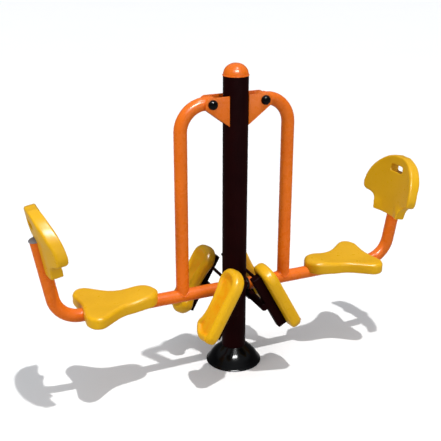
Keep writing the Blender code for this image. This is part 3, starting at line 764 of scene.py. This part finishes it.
def seat_tube_path(x0, s_end, n):
    cx, cz = REAR_BEND_X, SEAT_TUBE_Z + REAR_BEND_R
    turn = math.pi / 2 - REAR_LEAN
    pts = [(x0 + (cx - x0) * k / 6, SEAT_TUBE_Z, 0.0) for k in range(6)]
    for k in range(n + 1):
        a = turn * k / n
        pts.append((cx + REAR_BEND_R * math.sin(a), cz - REAR_BEND_R * math.cos(a), a))
    ex, ez, a = pts[-1]
    pts += [(ex + s * math.cos(a), ez + s * math.sin(a), a) for s in (s_end / 3, 2 * s_end / 3, s_end)]
    return pts


# --------------------------------------------------------------------------
# both sides
# --------------------------------------------------------------------------
for side, sx in (("left", -1), ("right", 1)):
    arm = side + "_arm"

    # ---- bracket plates and pivot caps --------------------------------------
    corner = arc(PLATE_END - PLATE_NOSE_R, PLATE_TOP - PLATE_NOSE_R, PLATE_NOSE_R, 90, 0, 24)
    low = arc(PLATE_END - 0.006, 1.2715, 0.006, 0, -50, 8)
    for end, sy in (("front", -1), ("back", 1)):
        # the plate's inner edge follows the post's round wall
        xi = math.sqrt((POST_R + GAP) ** 2 - PLATE_OUT ** 2)
        xo = math.sqrt((POST_R + GAP) ** 2 - PLATE_IN ** 2)
        outline = [(xo, PLATE_TOP)] + corner + low + [(xo, PLATE_LOW + (xo - 0.030) * 1.095 - 0.0066)]
        lo, hi = sorted((sy * PLATE_IN, sy * PLATE_OUT))
        ob = finish("bracket_plate_%s_%s" % (side, end),
                    plate_mesh(outline, lo, hi, lambda a, b, c: (sx * a, c, b)), "orange_paint", "base",
                    ["bracket_%s_%s" % (side, end)])
        y = sy * (PLATE_OUT + GAP)
        cap = rounded([(0.0190, 0.0), (0.0221, 0.0), (0.0217, 0.0052), (0.0203, 0.0100), (0.0172, 0.0146),
                       (0.0122, 0.0178), (0.0062, 0.0194), (0, 0.0198)],
                      [0, 0.0006, 0.004, 0.006, 0.007, 0.009, 0.012, 0], 4)
        finish("pivot_cover_%s_%s" % (side, end),
               lathe_mesh(cap + [(0, 0.0182), (0.0120, 0.0154), (0.0180, 0.0090)], 72,
                          axis_place((sx * PIVOT_X, y, PIVOT_Z), (0, sy, 0))),
               "black_plastic", "base", ["pivot_cap_%s_%s" % (side, end)])
        # fillet welds between the plate's inner face and the post
        wx = math.sqrt(POST_R ** 2 - (PLATE_IN - 0.0008) ** 2)
        zs = np.linspace(PLATE_LOW + 0.004 + (wx - 0.030) * 1.095, PLATE_TOP - 0.0015, 90)
        finish("weld_bracket_%s_%s" % (side, end),
               bead_mesh([(sx * (wx + 0.0010), sy * (PLATE_IN - 0.0006), z) for z in zs], 0.0019, 0.14, 0.0042,
                         closed=False),
               "orange_paint", "base")

    # ---- hub and swing tube ---------------------------------------------------
    b = 0.0010
    finish("hub_sleeve_" + side,
           lathe_mesh([(HUB_BORE_R, -HUB_HALF), (HUB_R - b, -HUB_HALF), (HUB_R - b * 0.3, -HUB_HALF + b * 0.3),
                       (HUB_R, -HUB_HALF + b), (HUB_R, HUB_HALF - b), (HUB_R - b * 0.3, HUB_HALF - b * 0.3),
                       (HUB_R - b, HUB_HALF), (HUB_BORE_R, HUB_HALF)], 96,
                      axis_place((sx * PIVOT_X, 0, PIVOT_Z), (0, 1, 0))),
           "orange_paint", arm, ["hub_" + side])

    z_off = ELBOW_Z + ELBOW_R - PIVOT_Z
    hub_r = HUB_R + GAP

    def hub_end(sidew, up):
        return math.sqrt(max(hub_r ** 2 - (up + z_off) ** 2, 0.0))

    def seat_tube_end(sidew, up):
        return -math.sqrt(max((TUBE_R + GAP) ** 2 - min(abs(sidew), TUBE_R) ** 2, 0.0))

    path = [(PIVOT_X, ELBOW_Z + ELBOW_R, 0.0)]
    n_arc = 26
    for k in range(n_arc + 1):
        a = math.radians(90 * k / n_arc)
        path.append((ARM_X - ELBOW_R + ELBOW_R * math.sin(a), ELBOW_Z + ELBOW_R * math.cos(a), -a))
    for k in (1, 2, 3, 4):
        path.append((ARM_X, ELBOW_Z + (SEAT_TUBE_Z + 0.032 - ELBOW_Z) * k / 4, -math.pi / 2))
    path.append((ARM_X, SEAT_TUBE_Z, -math.pi / 2))
    # the first straight station would lie inside the hub: the elbow starts outside it
    path = [path[0]] + [p for p in path[1:] if p[0] > PIVOT_X + 0.034]
    finish("swing_pipe_" + side, tube_mesh(path, TUBE_R, TUBE_R - TUBE_WALL, 72, sx, hub_end, seat_tube_end),
           "orange_paint", arm, ["swing_tube_" + side])
    ring = []
    for k in range(220):
        t = 2 * math.pi * k / 220
        sidew, up = TUBE_R * math.sin(t), TUBE_R * math.cos(t)
        ring.append((sx * (PIVOT_X + hub_end(sidew, up) + 0.0006), sidew * 1.01, ELBOW_Z + ELBOW_R + up * 1.02))
    finish("weld_hub_" + side, bead_mesh(ring, 0.0020, 0.12, 0.0042), "orange_paint", arm)
    ring = []
    for k in range(220):
        t = 2 * math.pi * k / 220
        sidew, up = TUBE_R * math.sin(t), TUBE_R * math.cos(t)
        ring.append((sx * (ARM_X + up * 1.02), sidew * 1.02, SEAT_TUBE_Z - seat_tube_end(sidew, up) + 0.0008))
    finish("weld_arm_" + side, bead_mesh(ring, 0.0024, 0.12, 0.0044), "orange_paint", arm)

    # ---- seat tube, end plug, buffer -------------------------------------------
    finish("seat_pipe_" + side, tube_mesh(seat_tube_path(SEAT_TUBE_IN, REAR_END, 26), TUBE_R, TUBE_R - TUBE_WALL,
                                          72, sx), "orange_paint", arm, ["seat_tube_" + side])
    px, pz = rear_point(REAR_END + GAP, 0.0)
    qx, qz = rear_point(REAR_END + 1.0, 0.0)
    plug = rounded([(0, -0.018), (0.0262, -0.018), (0.0266, -0.0170), (0.0266, 0), (0.0328, 0), (0.0330, 0.0030),
                    (0.0300, 0.0068), (0.0200, 0.0096), (0, 0.0105)],
                   [0, 0.0004, 0.0004, 0, 0.0006, 0.002, 0.004, 0.012, 0], 4)
    finish("end_plug_" + side, lathe_mesh(plug, 72, axis_place((sx * px, 0, pz), (sx * (qx - px), 0, qz - pz))),
           "grey_plastic", arm, ["tube_plug_" + side])
    reach = SEAT_TUBE_IN - POST_R - 2 * GAP
    buf = rounded([(0, -0.022), (0.0264, -0.022), (0.0264, 0), (0.0290, 0), (0.0290, 0.0030), (0.0222, 0.0050),
                   (0.0202, reach - 0.0015), (0.0180, reach), (0, reach)],
                  [0, 0.001, 0, 0.0006, 0.0008, 0.0012, 0.0015, 0.0010, 0], 4)
    finish("buffer_" + side, lathe_mesh(buf, 64, axis_place((sx * (SEAT_TUBE_IN - GAP), 0, SEAT_TUBE_Z), (-sx, 0, 0))),
           "rubber", arm, ["stop_buffer_" + side])

    # ---- seat -------------------------------------------------------------------
    nose = 1 - ss(0.430, 0.540, SEAT_LOOP[:, 0])
    r_top = 0.0180 + 0.0030 * nose
    r_bot = 0.0090 + 0.0050 * ss(0.60, 0.68, SEAT_LOOP[:, 0]) * ss(0.09, 0.15, np.abs(SEAT_LOOP[:, 1]))
    top_steps = [(r_top * i, r_top * 0.92 * d) for i, d in quarter(1.0, 8)]
    bot_steps = [(r_bot * i, r_bot * d) for i, d in quarter(1.0, 5)]
    seat = finish("seat_shell_" + side,
                  moulding(SEAT_LOOP, seat_faces, lambda a, b, c: (sx * a, b, c), [top_steps], [bot_steps], 0.0085),
                  "yellow_plastic", arm, ["seat_" + side])
    channel = seat_tube_path(0.30, 0.10, 20)[:22]
    bm = bmesh.new()
    rings = []
    for x, z, a in channel:
        rings.append([bm.verts.new((sx * (x - math.cos(t) * (TUBE_R + 0.0006) * math.sin(a)),
                                    (TUBE_R + 0.0006) * math.sin(t), z + math.cos(t) * (TUBE_R + 0.0006) * math.cos(a)))
                      for t in (2 * math.pi * (k + 0.37) / 64 for k in range(64))])
    for r0, r1 in zip(rings, rings[1:]):
        for k in range(64):
            j = (k + 1) % 64
            bm.faces.new((r0[k], r0[j], r1[j], r1[k]))
    bm.faces.new(rings[0])
    bm.faces.new(rings[-1])
    cut(seat, bm)

    # ---- backrest ---------------------------------------------------------------
    s, ay = BACK_LOOP[:, 0], np.abs(BACK_LOOP[:, 1])
    low = 1 - ss(0.150, 0.200, s)
    r_front = 0.0145 - 0.0095 * low - 0.0050 * ss(0.385, 0.425, s)
    r_rear = 0.0090 - 0.0040 * low
    top_steps = [(r_front * i, r_front * d) for i, d in quarter(1.0, 8)]
    bot_steps = [(r_rear * i, r_rear * d) for i, d in quarter(1.0, 6)]
    slot_steps = quarter(0.0055, 5)

    def back_place(s, y, w):
        x, z = rear_point(s, w)
        return (sx * x, y, z)

    back = finish("back_shell_" + side,
                  moulding(BACK_LOOP, back_faces, back_place, [top_steps, slot_steps], [bot_steps, slot_steps],
                           0.0085, holes=[SLOT_LOOP], walls=3),
                  "yellow_plastic", arm, ["backrest_" + side])
    p0, p1 = rear_point(0.05, 0), rear_point(1.05, 0)
    step, stop = REAR_END - 0.002 - 0.05, REAR_END + 0.026 - 0.05
    turn = Matrix.Rotation(0.031, 4, "Z")
    cut(back, lathe_mesh([(0, 0), (TUBE_R + 0.0006, 0), (TUBE_R + 0.0006, step), (0.0340, step), (0.0340, stop - 0.004),
                          (0.0300, stop), (0, stop)], 64,
                         axis_place((sx * p0[0], 0, p0[1]), (sx * (p1[0] - p0[0]), 0, p1[1] - p0[1])) @ turn))

    # ---- bar and rod that carry the pedals ------------------------------------------
    e = 0.0012
    finish("low_bar_" + side,
           lathe_mesh(rounded([(0, -BAR_HALF), (BAR_R, -BAR_HALF), (BAR_R, BAR_HALF), (0, BAR_HALF)],
                              [0, e, e, 0], 4), 64, axis_place((sx * BAR_X, 0, BAR_Z), (0, 1, 0))),
           "dark_paint", "base", ["pedal_bar_" + side])
    half = PAD_Y - FRAME_HALF - GAP
    finish("thin_rod_" + side,
           lathe_mesh([(0, -half), (ROD_R, -half), (ROD_R, half), (0, half)], 40,
                      axis_place((sx * ROD_X, 0, ROD_Z), (0, 1, 0))),
           "dark_paint", "base", ["pedal_rod_" + side])

    # ---- pedals and their square tubes ----------------------------------------------
    ct, st = math.cos(PAD_TILT), math.sin(PAD_TILT)
    for end, sy in (("front", -1), ("back", 1)):
        tag = "%s_%s" % (side, end)

        def pad_place(u, v, w):
            return (sx * (PAD_HEEL[0] - st * u + ct * w), sy * (PAD_Y + v), PAD_HEEL[1] + ct * u + st * w)

        def pad_faces(u, v):
            z = np.zeros_like(np.asarray(u, float))
            return z + PAD_BACK, z + PAD_FRONT - foot_hollow(u, v)

        def pad_inverse(p):
            a, b, c = sx * p[:, 0] - PAD_HEEL[0], sy * p[:, 1] - PAD_Y, p[:, 2] - PAD_HEEL[1]
            return -st * a + ct * c, b, ct * a + st * c

        pad = finish("pedal_pad_" + tag,
                     moulding(FOOT_LOOP, pad_faces, pad_place, [quarter(FOOT_EDGE, 10)], [quarter(FOOT_BACK, 9)],
                              0.0046, walls=2),
                     "yellow_plastic", "base", ["pedal_" + tag])
        # mask for the painted shade in the pad's hollow
        mark_hollow_shade(pad, pad_inverse)

        # rectangular tube with rolled corners and closed ends
        w_mid, w_half = (FRAME_W0 + FRAME_W1) / 2, (FRAME_W0 - FRAME_W1) / 2
        rc = 0.0045
        sect = []
        for cx, cy, a0 in ((FRAME_HALF - rc, w_half - rc, 0), (-FRAME_HALF + rc, w_half - rc, 90),
                           (-FRAME_HALF + rc, -w_half + rc, 180), (FRAME_HALF - rc, -w_half + rc, 270)):
            sect += arc(cx, cy, rc, a0, a0 + 90, 6)
        bm = bmesh.new()
        rings = []
        for u, k in ((FRAME_U0, 0.0012), (FRAME_U0 + 0.0012, 0.0), (FRAME_U1 - 0.0012, 0.0), (FRAME_U1, 0.0012)):
            f = 1 - k / FRAME_HALF
            g = 1 - k / w_half
            rings.append([bm.verts.new(pad_place(u, v * f, w_mid + w * g)) for v, w in sect])
        for r0, r1 in zip(rings, rings[1:]):
            n = len(r0)
            for k in range(n):
                j = (k + 1) % n
                bm.faces.new((r0[k], r0[j], r1[j], r1[k]))
        bm.faces.new(rings[0])
        bm.faces.new(rings[-1])
        finish("pedal_post_" + tag, bm, "dark_paint", "base", ["pedal_frame_" + tag])

# --------------------------------------------------------------------------
# floor, light and camera
# --------------------------------------------------------------------------
bm = bmesh.new()
bmesh.ops.create_grid(bm, x_segments=8, y_segments=8, size=45.0)
me = bpy.data.meshes.new("floor")
bm.to_mesh(me)
bm.free()
k = Mat("floor_paint", 0.9)
k.to("Base Color", k.ramp(k.noise(0.7, 3.0, 0.5), [(0.3, (0.974, 0.974, 0.973, 1)), (0.7, (0.982, 0.981, 0.980, 1))]))
k.p.inputs["Specular IOR Level"].default_value = 0.1
me.materials.append(k.m)
floor = bpy.data.objects.new("floor", me)
floor.location = (0, 0, -0.0004)
bpy.context.scene.collection.objects.link(floor)
floor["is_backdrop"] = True
floor.visible_diffuse = False
floor.visible_glossy = False

world = bpy.data.worlds.new("studio")
bpy.context.scene.world = world
world.use_nodes = True
nt = world.node_tree
bg = nt.nodes["Background"]
tc = nt.nodes.new("ShaderNodeTexCoord")
sep = nt.nodes.new("ShaderNodeSeparateXYZ")
nt.links.new(tc.outputs["Generated"], sep.inputs[0])
ramp = nt.nodes.new("ShaderNodeValToRGB")
# height of the direction, from straight down to straight up: white ground, a dark horizon, white ceiling
stops = [(-1.00, (0.66, 0.66, 0.67, 1)), (-0.28, (0.70, 0.70, 0.71, 1)), (-0.06, (0.15, 0.15, 0.16, 1)),
         (0.38, (0.15, 0.15, 0.16, 1)), (0.62, (0.91, 0.96, 1.02, 1)), (1.00, (0.94, 1.0, 1.07, 1))]
while len(ramp.color_ramp.elements) < len(stops):
    ramp.color_ramp.elements.new(0.5)
for el, (height, tone) in zip(ramp.color_ramp.elements, stops):
    el.position = (height + 1.0) / 2.0
    el.color = tone
mid = nt.nodes.new("ShaderNodeMapRange")
mid.inputs["From Min"].default_value = -1.0
mid.inputs["From Max"].default_value = 1.0
nt.links.new(sep.outputs["Z"], mid.inputs["Value"])
nt.links.new(mid.outputs["Result"], ramp.inputs["Fac"])
# the far background itself is plain white
path = nt.nodes.new("ShaderNodeLightPath")
pick = nt.nodes.new("ShaderNodeMix")
pick.data_type = "RGBA"
pick.inputs[7].default_value = (1.85, 1.85, 1.85, 1)
nt.links.new(path.outputs["Is Camera Ray"], pick.inputs[0])
nt.links.new(ramp.outputs["Color"], pick.inputs[6])
nt.links.new(pick.outputs[2], bg.inputs["Color"])
bg.inputs["Strength"].default_value = 0.54


def light(name, kind, loc, target, energy, size=1.0, colour=(1, 1, 1)):
    d = bpy.data.lights.new(name, kind)
    d.energy = energy
    d.color = colour
    if kind == "SUN":
        d.angle = size
    else:
        d.shape = "RECTANGLE"
        d.size, d.size_y = size
    ob = bpy.data.objects.new(name, d)
    ob.location = loc
    ob.rotation_euler = (Vector(target) - Vector(loc)).to_track_quat("-Z", "Y").to_euler()
    bpy.context.scene.collection.objects.link(ob)
    return ob


light("key", "SUN", (0.093 * 4, -0.183 * 4, 4.0), (0, 0, 0), 1.97, math.radians(1.2), (1.0, 0.99, 0.98))
# two broad soft fills that leave no mirror image, and a small lamp that is only seen as a glint
for name, loc, aim, energy, size in (("fill", (4.2, -11.8, 2.3), (0.0, 0.0, 0.75), 560.0, (9.0, 4.6)),
                                     ("fill_left", (-12.0, -3.2, 2.4), (0.2, 0.0, 0.7), 760.0, (8.0, 4.6))):
    light(name, "AREA", loc, aim, energy, size, (0.975, 0.99, 1.0)).visible_glossy = False
light("glint", "AREA", (-0.51, -1.87, 3.50), (-0.03, -0.08, 0.06), 290.0, (1.40, 0.42)).visible_diffuse = False

cam = bpy.data.cameras.new("camera")
cam.sensor_width = 36.0
cam.lens = 824.539 * 36.0 / 441.0
cam.clip_end = 200.0
ob = bpy.data.objects.new("camera", cam)
right = Vector((0.91210323, -0.4099549, 0.00216193))
up = Vector((0.14369291, 0.32463053, 0.93486222))
fwd = Vector((0.38395317, 0.8523802, -0.35500417))
m = Matrix.Identity(4)
for i in range(3):
    m[i][0], m[i][1], m[i][2] = right[i], up[i], -fwd[i]
m.translation = Vector((-1.5254093, -3.22718656, 2.08116392))
ob.matrix_world = m
bpy.context.scene.collection.objects.link(ob)
bpy.context.scene.camera = ob

bpy.context.scene.view_settings.view_transform = "Standard"
bpy.context.scene.view_settings.look = "None"

lo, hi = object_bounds()
